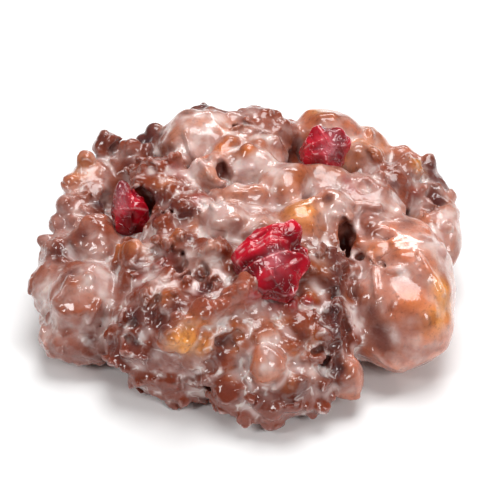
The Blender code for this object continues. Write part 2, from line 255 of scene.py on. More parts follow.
THUMB = (
    Lobe(42, -7, 20.5, 12.5, 12, 10, "peach", tilt=5),
    Lobe(43, -17, 17.5, 13.5, 16, 13.5, "peach", tilt=8),
    Lobe(41, -26, 12.5, 12.5, 13, 12, "peach"),
    Lobe(45, -24.5, 14.5, 9, 11, 11.5, "peach", turn=10),
)

RIGHT_SIDE = (
    Lobe(27, -42.5, 10.5, 5, 5, 6.5, "orange"),
    Lobe(54.5, 9, 14.5, 8, 13.5, 9.5, "pale", crags=0.2, turn=4),
    Lobe(51, 25, 16, 7.5, 8, 8, "dark", crags=0.2),
    Lobe(45, 32, 19, 7.5, 7, 7, "orange", crags=0.1, turn=-30),
    Lobe(33, 27, 26, 7, 7, 6, "gold", crags=0.2),
    Lobe(42, 20, 24, 8, 7, 6, "brown", crags=0.3, turn=20),
    Lobe(33, 8, 27, 11, 10, 7, "rose", crags=0.3),
    Lobe(38, 0, 26, 7, 5, 5, "brown", crags=0.4),
)

BACK = (
    Lobe(35, 36.5, 21.5, 9, 8, 8.5, "gold", crags=0.1, turn=-20),
    Lobe(24, 37, 27, 10, 9, 9, "orange", turn=-10),
    Lobe(10, 34, 28.5, 5, 7, 7, "brown", crags=0.2),
    Lobe(2.5, 35.5, 31, 8.5, 8, 7.5, "brown", crags=0.15),
    Lobe(-13, 30, 31, 12, 11, 9.5, "pale", turn=10),
    Lobe(-12, 39, 27.5, 9, 7, 8, "dark", crags=0.2),
    Lobe(-26, 33, 23.5, 4, 6, 8, "dark", turn=35, tilt=-15),
    Lobe(-31, 27, 20.5, 9, 9, 9, "brown", crags=0.6, turn=20),
    Lobe(-31, 33, 10, 13, 10, 10, crags=0.9, turn=25),
    Lobe(-12, 39, 13, 13, 10, 12, crags=0.9),
    Lobe(9, 39, 12, 13, 10, 12, crags=0.9),
    Lobe(30, 36, 10, 14, 10, 10, crags=0.9, turn=-20),
    Lobe(47, 22, 8, 9, 12, 8.5, crags=0.7, turn=15),
    Lobe(-45, 15, 8, 9, 14, 9, crags=0.7, turn=-8),
)

LEFT_SIDE = (
    Lobe(-40, 32, 22, 3.8, 5, 10, "brown", tilt=-8),
    Lobe(-44.2, 22, 19, 8, 9, 9, "flake", crags=0.1),
    Lobe(-46.5, 9, 18, 7.5, 8, 9, "flake", crags=0.2),
    Lobe(-48, -3, 15, 8, 8, 9, "flake", crags=0.1),
    Lobe(-50.5, -13, 14, 8, 8, 8, "flake"),
    Lobe(-44.5, -23.5, 8.5, 11.5, 11, 8.5, "flake"),
    Lobe(-43, -20.5, 17.5, 9.5, 10.5, 9.5, "rose", turn=-20),
    Lobe(-41, -4, 23, 7, 7, 6.5, "rose"),
)

FRONT = (
    Lobe(-6, -24, 16, 30, 22, 16, crags=1),
    Lobe(13, -29, 14, 18, 17, 14, crags=1),
    Lobe(-22, -31, 12.5, 14, 12.5, 12, crags=1),
    Lobe(8, -45, 9, 16, 9, 9, crags=0.5),
    Lobe(-16, -37.5, 6, 14, 7.5, 7, crags=0.5, turn=-8),
    Lobe(-17, -43, 26, 6.5, 4, 4, "strap", turn=29),
    Lobe(-9, -39, 30, 7, 3.6, 4, "strap", turn=29),
    Lobe(-1, -34.5, 32.5, 6, 3.6, 4, "strap", turn=29),
    Lobe(5.5, -48.5, 20.5, 4.8, 4.8, 5.8, "orange", tilt=-20),
)

TOP = (
    Lobe(-9, 13, 34, 7, 6, 5.5, "orange", turn=30),
    Lobe(2, 15, 34.5, 8.5, 5, 5, "pale", turn=-5),
    Lobe(11, 8, 33.5, 7, 8, 5.5, "pale", turn=-30),
    Lobe(-1, 2, 33.5, 8, 4.5, 5, "pale"),
    Lobe(2, 24, 31, 10, 8, 7, "pale", crags=0.5),
    Lobe(15, -5, 30.5, 7, 6, 6, "gold", turn=20),
    Lobe(24, -1, 29.5, 6, 8, 7, "orange", crags=0.2, turn=20),
    Lobe(22, 12, 29, 9, 9, 7, "pale"),
    Lobe(-5, -7, 32.5, 7, 6, 5.5, "pale", crags=0.3),
    Lobe(4, -11, 31, 6, 5, 5, "pale", crags=0.3),
    Lobe(-14, -1, 31, 6, 7, 6, crags=0.3),
    Lobe(-19, 6, 30, 7, 7, 6, crags=0.6),
    Lobe(-24, 13, 29, 8, 8, 7, crags=0.9),
    Lobe(-23, -6, 28, 6, 7, 6, crags=0.6),
    Lobe(-18, -15, 29, 7, 6, 6, crags=0.6),
    Lobe(-28, -15, 25, 6, 6, 6, crags=0.6),
    Lobe(-9, -19, 30, 7, 6, 6, crags=0.5),
    Lobe(-21, -27, 25, 7, 6, 6, crags=0.6),
    Lobe(18, -20, 27, 9, 8, 7, crags=0.5),
)

GROUPS = (BODY, THUMB, RIGHT_SIDE, BACK, LEFT_SIDE, FRONT, TOP)
GROUP_BLENDS = (1.0, 5.0, 1.2, 1.2, 1.5, 1.2, 1.5)
DOUGH = sum(GROUPS, ())

Hole = namedtuple("Hole", "x y z rx ry rz turn tilt", defaults=(0, 0))
HOLES = (
    Hole(26.5, -8.5, 27, 2.5, 5.2, 7, turn=5),
    Hole(28.5, -26, 26, 2.4, 6, 5, turn=5),
    Hole(27, -38, 21, 2.4, 6, 6, turn=8, tilt=20),
    Hole(37.5, -9, 31, 3.4, 2.2, 4),
    Hole(-5.5, 9.5, 36.5, 2.4, 2.8, 4),
    Hole(1, 7, 37, 2.6, 1.4, 3, turn=15),
    Hole(-31, 1, 30, 7, 8, 6),
)

# Places below are as seen from the front: millimetres across and up from the middle of the view.
# Thick runs of glaze: half width, and the places that each passes
RUNS = (
    # over the thumb and down its sides
    (0.44, ((33, 0), (35.5, -3.5), (35.5, -8.5), (36, -13))),
    (0.39, ((50.5, 8), (53, 3.5), (55, -2))),
    (0.39, ((47.5, -0.5), (50.5, -7), (54, -13))),
    (0.50, ((38, -5.5), (42.5, -5))),
    (0.33, ((34, -28), (38, -31), (42, -33))),
    # over the top
    (0.44, ((-15, 16), (-10.5, 17), (-6.5, 12.5))),
    (0.50, ((-18, 33.5), (-15.5, 27), (-11, 20))),
    (0.39, ((-5.5, 21.5), (-2.5, 23), (0.5, 23))),
    (0.44, ((22.5, 10.5), (27, 8.5), (31, 12))),
    (0.44, ((28.5, 13), (35.5, 12))),
    (0.44, ((-3, 12.5), (1.5, 11.5), (5.5, 11))),
    (0.39, ((3.5, 8), (0, 5.5), (-2, 4))),
    # at the left
    (0.50, ((-57.5, -22.5), (-58, -19.5), (-56, -16), (-53, -13), (-50.5, -7.5))),
    (0.39, ((-34, -3.5), (-29.5, -5.5), (-26, -4))),
    (0.39, ((-42, -14), (-46, -20))),
    (0.39, ((-25, 4), (-20.5, -0.5))),
    # webs between the lumps of the front
    (0.44, ((-23.5, -24.5), (-20, -22.5), (-17.5, -18.5))),
    (0.44, ((-13, -29), (-10.5, -25), (-8, -22))),
    (0.38, ((-18, -36.5), (-12.5, -37), (-8, -33.5))),
    # round the smooth lump at the front
    (0.39, ((-0.5, -28.5), (4.5, -28), (8.5, -29.5), (10.5, -34.5), (6, -39))),
    (0.39, ((-1, -30), (-1, -36), (2, -39.5))),
)

# Patches of a look of their own, the dark ones partly painted shade: kind, reach, strength and places
SPOTS = (
    ("gold", 4.0, 1.0, ((-18, -26.5), (-16, -25))),
    ("dark", 3.4, 0.5, ((-42, -30), (-36, -31), (-30, -31), (-48, -30))),
    ("orange", 2.4, 1.0, ((-14.5, -23), (-12.5, -21.5))),
    ("dark", 3.4, 1.0, ((-42, 12.6), (-53, -1), (-29, 30.5), (-26, 14.8), (52.4, 12.6), (-12.6, 40))),
    ("dark", 3.4, 0.9, ((23.8, -25), (-32, -18.5), (-26.5, -17.5), (-24, -21), (13, -40), (25, -35))),
    ("dark", 2.6, 0.9, ((-41.4, 31), (3.4, 33), (22.4, 25), (-50, -6.5), (-47, 4), (-45, -25), (-38, -27))),
    ("gold", 3.6, 0.45, ((12.5, 12), (15.5, 11.5))),
    ("gold", 3.6, 0.9, ((52, -20), (55, -15.5), (54, -10))),
    ("gold", 2.8, 0.7, ((20, 39), (36, 34.5), (47.5, 23.5), (-47, 23))),
    ("orange", 3.2, 0.8, ((34.5, 0), (41.5, 1.5), (45.5, -14), (50.5, -22.5), (53, -3))),
    ("orange", 3.2, 0.8, ((-45.5, 24), (-48, 19.5), (-36.5, 1.5), (-31.5, 2))),
    ("orange", 2.5, 0.8, ((-1, -22.5), (-4, -27), (11, -37.5), (26.5, -14), (22.5, -5.5), (20, 8))),
    ("orange", 2.5, 0.8, ((-5.5, 35), (-7.5, 28), (-24, 19), (-15, 7), (4, 25), (0, 28))),
    ("red", 1.6, 0.9, ((-14.5, -11.5), (28.5, 17), (27, 19.5), (16.5, -14), (6, -32))),
    ("red", 2.2, 1.0, ((1, -13), (3, -14), (5, -15), (8, -16.5), (12, -15))),
    ("dark", 2.6, 0.9, ((22.5, -28.5), (24, -32.5), (25.5, -25), (52, 15), (-25, 32), (-28, 28))),
    ("dark", 2.2, 0.8, ((-40, 10), (-28.5, 10.5), (-26, 9.5), (-17.5, 38.5))),
    # Painted shadow under the lower left of the thumb
    ("dark", 4.0, 0.8, ((36, -22.5), (37.5, -26.5), (34, -17))),
    ("pale", 4.5, 0.4, ((-18, 31), (-11, 37))),
    ("pale", 4.5, 0.9, ((55, 0), (56, -5), (57, -11))),
    ("orange", 3.0, 0.6, ((20, -3), (22, 1), (-21, 5), (-12, -4), (8, -20), (17, -25), (-24, -12))),
    # Painted shade down the deep crevice left of the thumb
    ("dark", 3.8, 1.0, ((23.8, -2), (24.6, -7), (23.8, -12), (24.6, -17.5), (23.8, -21))),
    ("dark", 1.2, 0.9, ((-4.1, 28.5), (-4.1, 27), (-4.3, 25.5))),
    ("dark", 2.4, 0.8, ((28, 7), (33.5, 5), (24, 17), (30, 22), (40, 18), (44, 8), (-34, 24), (-22, 28))),
    ("dark", 1.8, 0.9, ((-21, -2.2), (-14, -6.7), (-11.5, -9.8), (-13.4, -11.8), (-26.6, -17), (-24.6, -21))),
    ("dark", 1.8, 0.9, ((-20.4, -16), (-32, -26), (-7, -24.6), (-8.7, -29.4), (15, -24), (-19, 10))),
    ("dark", 1.8, 0.9, ((-17, 3),)),
    ("orange", 2.2, 0.8, ((-3.9, -21), (-4.5, -34.2), (12.3, -29.4), (-29, -1.5), (-26, -13), (18, -12))),
    ("pale", 2.4, 0.6, ((-30.5, 0.3), (-17.6, -2.2), (-10.9, -2.8), (-25.8, -8.7), (3.4, -17.6))),
    ("pale", 2.4, 0.6, ((-8.1, -19.9), (10.4, -33.6), (-15.1, -32.5), (-14, 4), (-11, 1.5), (18, -35))),
    ("red", 2.4, 0.5, ((-21, 22), (-14, 14.5), (-24.5, -3), (-30, -9), (9, 30), (46, 15), (34, 24))),
    ("pale", 4.0, 0.8, ((-14, 34), (41, 12.5), (36.5, 28), (25, 12.5), (-44, -8), (-57, -11))),
    ("pale", 3.0, 0.7, ((5.5, -25), (-9, 10.5), (5, -33))),
    ("pale", 2.8, 0.9, ((-11.2, 21), (-6.2, 18.5), (0, 20.4), (5.6, 24), (4.4, 27.8), (-14, 24))),
    ("pale", 2.8, 0.9, ((-14.5, 28),)),
    ("orange", 3.0, 0.7, ((11.8, 19.8), (14, 22), (-6.5, 28.5), (-1.3, 27))),
    ("dark", 3.4, 0.4, ((8, -41), (2, -42.5), (14, -38), (-6, -39), (-14, -35), (20, -37.5))),
    ("dark", 2.2, 0.9, ((-22, 12), (-17, 10.5), (-7.6, 24), (-7.2, 22), (22, 14.5), (-31, -4))),
    ("white", 1.9, 0.9, ((-2.5, 22.8), (1, 23.5), (-12, 13), (-8, 12), (-17, 22))),
    ("white", 1.0, 0.9, ((-25.5, 27),)),
)

# Lumps on the dough: half width, how deep the middle lies as a share of that, and places
LUMPS = (
    (2.7, 0.1, ((-7.6, 27.5), (-5.5, 29.5), (-0.5, 27.5), (2.5, 28.5))),
    (2.3, 0.2, ((1, -9), (2, -12), (-1.5, -11))),
    (3.0, 0.3, ((-50.5, 19), (-52, 13), (-53.5, 7), (-54.5, 1), (-46, 25.5))),
    (3.0, 0.2, ((-30, 30), (-26.5, 33.5), (-33, 28.5))),
    (2.0, 0.2, ((24.5, -22), (23, -31), (26, -36), (23.5, -9), (25, -14))),
)
BEADS = ((0.9, 0.2, ((-25.5, 27),)),)

# Dips in the dough: reach, depth and places
DIPS = (
    (3.0, 1.8, ((-28, -19), (-6, -24.5), (-32, -26.5), (52, 16))),
    (2.2, 1.6, ((-11, -9), (-17, -14), (-20.5, -3.5), (-10.5, -31.5), (27, -5.5), (22.5, -18.5))),
    (1.8, 1.5, ((-9, 4.5), (-13, 26), (-28.5, 12.5), (-40.5, 14.5), (32, 18), (36, -2), (37.5, 1))),
    (2.0, 1.8, ((-8, 23.3), (24, -27), (25.5, -33), (24.5, -11.5), (50.5, 12.5))),
    (1.4, 2.2, ((-30.6, 8.3),)),
    (2.0, 1.2, ((-14, -6.7), (-21, -2.2), (-24.6, -21))),
)

# Where a cherry is smeared with glaze: the direction from its middle, and how wide in degrees
SMEARS = {
    "cherry_front": ((0.15, -0.35, 0.92), 22),
    "cherry_left": ((-0.4, -0.5, 0.9), 26),
    "cherry_back": ((0.3, -0.4, 0.85), 32),
}

# The flat sides that a shrunken cherry dries into: directions, and how far out each lies
FLATS = (
    ((-0.4, 0.15, 0.9), 0.80),
    ((0.3, -0.3, 0.95), 0.86),
    ((-0.8, -0.55, 0.3), 0.84),
    ((0.85, -0.45, 0.3), 0.84),
    ((0.05, -0.85, 0.5), 0.92),
    ((0.75, 0.2, 0.65), 0.84),
    ((-0.1, -0.9, -0.4), 0.90),
    ((0.7, -0.6, -0.5), 0.92),
    ((-0.75, 0.6, 0.1), 0.88),
    ((0.3, 0.95, 0.1), 0.88),
    ((0.0, 0.0, -1.0), 0.92),
)
FLAT_EDGE = 9  # the higher, the sharper the edges between the flat sides
FLAT_MOST = 1.1
FOLD_SPREAD = (1.15, 2.65)
FOLD_SHARE = (1.0, 0.25)
FOLD_SHARPNESS = 4

# A crest or crease in a cherry's skin, between two directions from its middle: how high, and how wide in
# degrees. The arc bows towards a third direction by a share.
Fold = namedtuple("Fold", "start end height width bow share", defaults=((0, 0, 1), 0.0))

# A pulled-out corner of a cherry: its direction, how far it reaches and how sharp it is
Corner = namedtuple("Corner", "x y z reach sharpness")

# A cherry: its middle, half sizes and turns as a lobe's, how wrinkled it is, its wrinkles' seed, how far its
# flat sides are turned, and its corners
Cherry = namedtuple("Cherry", "name x y z rx ry rz turn tilt folds seed twist corners")
CHERRIES = (
    Cherry(
        "cherry_front", 6.5, -25.5, 34, 9, 9.8, 8.6, 0, 15, 0.04, 3, 0,
        (
            Corner(0.75, 0.7, 0.5, 0.42, 18),
            Corner(1.0, 0.0, 0.3, 0.28, 14),
            Corner(-0.9, 0.3, 0.4, 0.15, 8),
            Corner(0.6, -0.9, 0.2, 0.3, 10),
            Corner(-0.5, -0.9, 0.2, 0.15, 8),
        ),
    ),
    Cherry(
        "cherry_left", -32, 2, 28.5, 5.4, 5.6, 8, 10, 0, 0.03, 5, 140,
        (
            Corner(-0.25, 0.2, 1.0, 0.42, 9),
            Corner(0.9, -0.5, 0.1, 0.15, 10),
        ),
    ),
    Cherry(
        "cherry_back", 21.5, 19.5, 35.5, 6.6, 6.8, 7.4, 0, 10, 0.05, 8, 60,
        (
            Corner(-0.2, 0.4, 1.0, 0.3, 14),
            Corner(1.0, 0.2, 0.3, 0.35, 16),
            Corner(0.6, 0.3, 0.8, 0.25, 16),
        ),
    ),
)

# Directions are across, away from the viewer and up, in the cherry's own axes
FOLDS = {
    "cherry_front": (
        Fold((-0.95, 0.2, 0.45), (0.6, 0.8, 0.55), 0.09, 5, bow=(0, 0.4, 0.9), share=0.1),
        Fold((-0.95, 0.1, 0.4), (0.45, 0.55, 0.75), 0.09, 4, bow=(-0.5, 0, 0.9), share=0.12),
        Fold((-0.9, -0.05, 0.35), (0.2, 0.4, 0.9), 0.08, 4, bow=(-0.4, 0.4, 0.8), share=0.1),
        Fold((-0.9, -0.15, 0.35), (0.55, 0.35, 0.85), 0.10, 5),
        Fold((-0.9, -0.4, 0.2), (0.35, -0.1, 1.0), 0.11, 5),
        Fold((0.35, -0.1, 1.0), (1.0, 0.0, 0.35), 0.11, 5, bow=(0.6, 0.5, 0.6), share=0.15),
        Fold((-0.1, -0.5, 0.85), (0.25, -0.8, 0.35), 0.07, 4),
        Fold((-0.5, -0.75, 0.35), (-0.1, -0.5, 0.85), 0.06, 4, bow=(0.1, -0.8, 0.5), share=0.1),
        Fold((0.4, -0.5, 0.7), (0.85, -0.1, 0.5), 0.07, 4),
        Fold((0.3, -0.9, 0.2), (0.95, -0.35, 0.2), 0.08, 4),
        Fold((0.1, -0.95, -0.1), (0.7, -0.7, -0.2), 0.06, 4),
        Fold((-0.8, -0.3, 0.3), (0.5, 0.1, 0.9), -0.16, 8),
        Fold((0.1, -0.85, 0.45), (0.2, -0.3, 0.95), -0.07, 9),
        Fold((-0.4, -0.8, 0.1), (0.8, -0.6, 0.1), -0.08, 8),
        Fold((0.4, 0.75, 0.5), (0.5, 0.72, 0.48), 0.16, 9),
        Fold((0.9, 0.3, 0.3), (0.95, 0.25, 0.2), 0.12, 7),
        Fold((0.7, 0.1, 0.75), (0.85, 0.5, 0.25), -0.22, 10),
    ),
    "cherry_left": (
        Fold((-0.6, -0.6, 0.55), (0.75, -0.6, 0.35), 0.06, 9, bow=(0, -0.6, 0.8), share=0.1),
        Fold((-0.5, -0.3, 0.9), (0.5, -0.4, 0.75), 0.05, 8),
        Fold((-0.7, -0.7, 0.2), (-0.6, -0.6, -0.6), 0.05, 9),
        Fold((0.8, -0.5, 0.3), (0.7, -0.7, -0.4), 0.06, 9),
        Fold((0.1, -1.0, 0.35), (-0.1, -1.0, -0.5), -0.05, 12),
    ),
    "cherry_back": (
        Fold((-0.9, -0.3, 0.5), (0.2, -0.2, 0.95), 0.08, 8),
        Fold((-0.7, -0.6, 0.4), (0.1, -0.75, 0.6), 0.08, 7, bow=(0, 0, 1), share=0.12),
        Fold((0.1, -0.75, 0.6), (0.25, -0.9, -0.1), 0.10, 8),
        Fold((-0.2, 0.4, 1.0), (0.25, -0.4, 0.9), 0.08, 9),
        Fold((0.3, -0.3, 0.9), (1.0, 0.1, 0.3), 0.06, 8, bow=(0.5, -0.7, 0.4), share=0.2),
        Fold((0.35, -0.8, 0.4), (0.75, -0.6, 0.1), -0.08, 10),
        Fold((-0.5, -0.5, 0.7), (0.1, -0.5, 0.85), -0.08, 8),
    ),
}


def turned(x=0.0, y=0.0, z=0.0):
    """The turn about Z after the one about Y after the one about X, in degrees."""
    return (
        Matrix.Rotation(math.radians(z), 4, "Z")
        @ Matrix.Rotation(math.radians(y), 4, "Y")
        @ Matrix.Rotation(math.radians(x), 4, "X")
    )


def ball(middle, sizes, turn=Matrix.Identity(4)):
    """The matrix that takes a unit ball to one with those half sizes, turned and then moved."""
    return Matrix.Translation(middle) @ turn @ Matrix.Diagonal((*sizes, 1))


def placed(shape):
    """The matrix of a lobe, a hole or a cherry, in millimetres."""
    sizes = (shape.rx, shape.ry, shape.rz)
    return ball((shape.x, shape.y, shape.z), sizes, turned(x=shape.tilt, z=shape.turn))


def spread_directions(count, draw):
    """count unit vectors, evenly spread along a spiral over the ball, each nudged at random."""
    golden_angle = math.pi * (3 - math.sqrt(5))
    nudge = CRAG_NUDGE / math.sqrt(count)
    for i in range(count):
        z = 1 - 2 * (i + 0.5) / count
        across = math.sqrt(1 - z * z)
        angle = i * golden_angle
        direction = Vector((across * math.cos(angle), across * math.sin(angle), z))
        direction += Vector([draw.uniform(-nudge, nudge) for _ in range(3)])
        yield direction.normalized()


def crag_places(lobe, others, draw):
    """Points on a lobe's surface, outside the other lobes, with the outward direction there."""
    matrix = placed(lobe)
    area = 4 * math.pi * (lobe.rx * lobe.ry * lobe.rz) ** (2 / 3)
    count = max(CRAG_LEAST, round(area / CRAG_SPACING**2))
    for direction in spread_directions(count, draw):
        wanted = draw.random() < lobe.crags
        point = matrix @ direction
        hidden = any((other @ point).length < HIDDEN for other in others)
        if wanted and not hidden and point.z > 0:
            outward = (matrix.to_3x3().inverted().transposed() @ direction).normalized()
            yield point, outward


def random_turn(draw):
    return turned(*[draw.uniform(0, 360) for _ in range(3)])


def crag_matrix(point, outward, size, draw):
    sizes = [size * draw.uniform(*CRAG_SQUASH) for _ in range(3)]
    return ball(point + outward * size * (2 * CRAG_PROUD - 1), sizes, random_turn(draw))


def pit_matrix(point, outward, size, draw):
    sideways = outward.orthogonal().normalized()
    sideways.rotate(Matrix.Rotation(draw.uniform(0, 2 * math.pi), 3, outward))
    return ball(point + sideways * CRAG_LARGE, (size, size, size * PIT_STRETCH), random_turn(draw))


def crags_and_pits(draw):
    """The matrices of the crags and pits, drawn as the solid draws them."""
    inverses = {lobe: placed(lobe).inverted() for lobe in DOUGH}
    places, crags, pits = [], [], []
    for lobe in DOUGH:
        others = [inverse for other, inverse in inverses.items() if other is not lobe]
        for point, outward in crag_places(lobe, others, draw):
            size = CRAG_SMALL + (CRAG_LARGE - CRAG_SMALL) * draw.random() ** 2
            if any((point - other).length < CRAG_CLEAR * (size + reach) for other, reach in places):
                continue
            places.append((point, size))
            crags.append(crag_matrix(point, outward, size, draw))
            if draw.random() < PIT_SHARE:
                pit = draw.uniform(PIT_SMALL, PIT_LARGE)
                pits.append(pit_matrix(point, outward, pit, draw))
    return crags, pits


def ball_distance(matrix, x, y, z):
    """About how far points lie outside the ball that the matrix makes, in millimetres."""
    turn, sizes = matrix.to_quaternion().to_matrix().transposed(), matrix.to_scale()
    x, y, z = x - matrix.translation.x, y - matrix.translation.y, z - matrix.translation.z
    near, far = 0.0, 0.0
    for row, size in zip(turn, sizes):
        along = (row[0] * x + row[1] * y + row[2] * z) / size
        near = near + along * along
        far = far + (along / size) ** 2
    near, far = np.sqrt(near + TINY), np.sqrt(far + TINY / max(sizes) ** 2)
    return near * (near - 1) / far


def soft_min(a, b, blend):
    """The lower of two distances, rounded where they are within blend of each other."""
    share = np.clip(0.5 + 0.5 * (b - a) / blend, 0, 1)
    return b * (1 - share) + a * share - blend * share * (1 - share)


def between(grid, corner, share):
    """The grid's values between its points, from the lower corner and the share of the way to the next."""
    flat, row, slab = grid.ravel(), grid.shape[2], grid.shape[1] * grid.shape[2]
    base = corner[:, 0] * slab + corner[:, 1] * row + corner[:, 2]
    x, y, z = share.T

    def along(offset, step, part, inner):
        low = inner(offset)
        return low + (inner(offset + step) - low) * part

    def deep(offset):
        return along(offset, 1, z, lambda at: flat[base + at])

    def wide(offset):
        return along(offset, row, y, deep)

    return along(0, slab, x, wide)


class Field:
    """Values on a regular grid of points, such as distances to a skin, negative inside, in millimetres."""

    def __init__(self, low, cell, value):
        self.low, self.cell, self.value = np.asarray(low, np.float32), cell, value

    def window(self, middle, reach):
        """The slices of the grid within reach of middle, and their coordinates."""
        slices, axes = [], []
        for axis in range(3):
            first = max(0, int((middle[axis] - reach[axis] - self.low[axis]) / self.cell))
            last = int((middle[axis] + reach[axis] - self.low[axis]) / self.cell) + 2
            last = max(first, min(self.value.shape[axis], last))
            slices.append(slice(first, last))
            axes.append(self.low[axis] + np.arange(first, last, dtype=np.float32) * self.cell)
        x, y, z = np.meshgrid(*axes, indexing="ij", sparse=True)
        return tuple(slices), x, y, z

    def copy(self):
        return Field(self.low, self.cell, self.value.copy())

    def add_ball(self, matrix, blend, far=FAR):
        part, x, y, z = self.window(matrix.translation, half_widths(matrix, far))
        if self.value[part].size:
            self.value[part] = soft_min(self.value[part], ball_distance(matrix, x, y, z), blend)

    def sample(self, points):
        """The value at each point, blended from the eight grid points round it."""
        place = np.clip((points - self.low) / self.cell, 0, np.array(self.value.shape) - INSIDE)
        corner = place.astype(np.int64)
        return between(self.value, corner, (place - corner).astype(np.float32))

    def points(self, chosen):
        """Coordinates of the grid points where chosen is true."""
        return np.stack(np.nonzero(chosen), axis=1) * np.float32(self.cell) + self.low

    def blurred(self, spread):
        """A copy, smoothed by a bell curve of that spread in millimetres."""
        width = spread / self.cell
        reach = int(math.ceil(width * BELL_REACH))
        weights = np.exp(-0.5 * (np.arange(-reach, reach + 1) / width) ** 2)
        weights = (weights / weights.sum()).astype(np.float32)
        value = self.value
        for axis in range(3):
            pads = [(reach, reach) if i == axis else (0, 0) for i in range(3)]
            padded = np.pad(value, pads, mode="edge")
            value = np.zeros_like(self.value)
            for step, weight in enumerate(weights):
                part = [slice(None)] * 3
                part[axis] = slice(step, step + value.shape[axis])
                value += weight * padded[tuple(part)]
        return Field(self.low, self.cell, value)

    def skin(self):
        """The surface where the value crosses zero: vertices in millimetres and outward quads."""
        value, inside = self.value, self.value < 0
        cells, points, flips = [], [], []
        strides = np.array([value.shape[1] * value.shape[2], value.shape[2], 1])
        for axis in range(3):
            edges = np.nonzero(np.diff(inside, axis=axis))
            ends = tuple(edge + (i == axis) for i, edge in enumerate(edges))
            start, end = value[edges], value[ends]
            corner = np.stack(edges, axis=1)
            where = corner.astype(np.float64)
            where[:, axis] += start / (start - end)
            one, two = strides[(axis + 1) % 3], strides[(axis + 2) % 3]
            base = corner @ strides
            cells.append(np.stack([base - one - two, base - two, base, base - one], axis=1))
            points.append(where)
            flips.append(start > 0)
        cells, points, flips = np.concatenate(cells), np.concatenate(points), np.concatenate(flips)
        index = np.unique(cells, return_inverse=True)[1].reshape(cells.shape)
        total = np.bincount(index.ravel())
        sums = [np.bincount(index.ravel(), weights=np.repeat(points[:, i], 4)) for i in range(3)]
        vertices = np.stack(sums, axis=1) / total[:, None]
        quads = np.where(flips[:, None], index[:, ::-1], index)
        return vertices * self.cell + self.low, quads


def half_widths(matrix, extra):
    """Half the ball's width along each axis of the grid, and some more."""
    return [math.sqrt(sum(matrix[axis][i] ** 2 for i in range(3))) + extra for axis in range(3)]


def lattice_noise(points, size, seed):
    """Smooth random values from -1 to 1, with features of about that size in millimetres."""
    place = np.pad(points, ((0, 0), (0, 3 - points.shape[1]))) / size
    corner = np.floor(place)
    share = place - corner
    share = share * share * (3 - 2 * share)
    corner = (corner - corner.min(axis=0)).astype(np.int64)
    grid = np.random.default_rng(seed).uniform(-1, 1, corner.max(axis=0) + 2)
    return between(grid.astype(np.float32), corner, share)


def lobe_shares(points, softness):
    """How much each lobe has to do with each point, as shares that add up to one."""
    x, y, z = points.T
    distances = np.stack([ball_distance(placed(lobe), x, y, z) for lobe in DOUGH], axis=1)
    shares = np.exp(-(distances - distances.min(axis=1, keepdims=True)) / softness)
    return shares / shares.sum(axis=1, keepdims=True)


def lobe_values(points, numbers, softness=LOOK_BLEND):
    """One number for each lobe, blended over the points."""
    return lobe_shares(points.astype(np.float32), softness) @ np.asarray(numbers, np.float32)


def coarse_values(field, numbers, step=4):
    """The lobes' numbers as a field with a wider step."""
    axes = [field.low[i] + np.arange(0, field.value.shape[i] + step, step) * field.cell for i in range(3)]
    grid = np.stack(np.meshgrid(*axes, indexing="ij"), axis=-1)
    values = lobe_values(grid.reshape(-1, 3), numbers)
    return Field(field.low, field.cell * step, values.reshape(grid.shape[:3]).astype(np.float32))


def outward_at(vertices, quads):
    """An outward direction at each vertex."""
    flat = np.cross(
        vertices[quads[:, 2]] - vertices[quads[:, 0]], vertices[quads[:, 3]] - vertices[quads[:, 1]]
    )
    total = np.zeros_like(vertices)
    for corner in range(4):
        for axis in range(3):
            total[:, axis] += np.bincount(quads[:, corner], weights=flat[:, axis], minlength=len(vertices))
    return total / (np.linalg.norm(total, axis=1, keepdims=True) + SLIVER)


def pebble_places(vertices, density, draw):
    """Where pebbles lie on the skin, as vertices with sizes: large ones first, each clear of the others."""
    order = draw.choice(len(vertices), min(PEBBLE_TRIES, len(vertices)), replace=False)
    sizes = PEBBLE_SMALL + (PEBBLE_LARGE - PEBBLE_SMALL) * draw.random(len(order)) ** PEBBLE_BIAS
    sizes = np.sort(sizes)[::-1]
    wanted = (draw.random(len(order)) < density[order]) & (vertices[order][:, 2] > PEBBLE_FLOOR)
    order, sizes = order[wanted], sizes[wanted]
    points, free = vertices[order], np.full(len(order), True)
    for i, point in enumerate(points):
        if free[i]:
            gaps = np.linalg.norm(points[i + 1 :] - point, axis=1)
            free[i + 1 :] &= gaps >= PEBBLE_CLEAR * (sizes[i + 1 :] + sizes[i])
    return list(zip(order[free], sizes[free]))


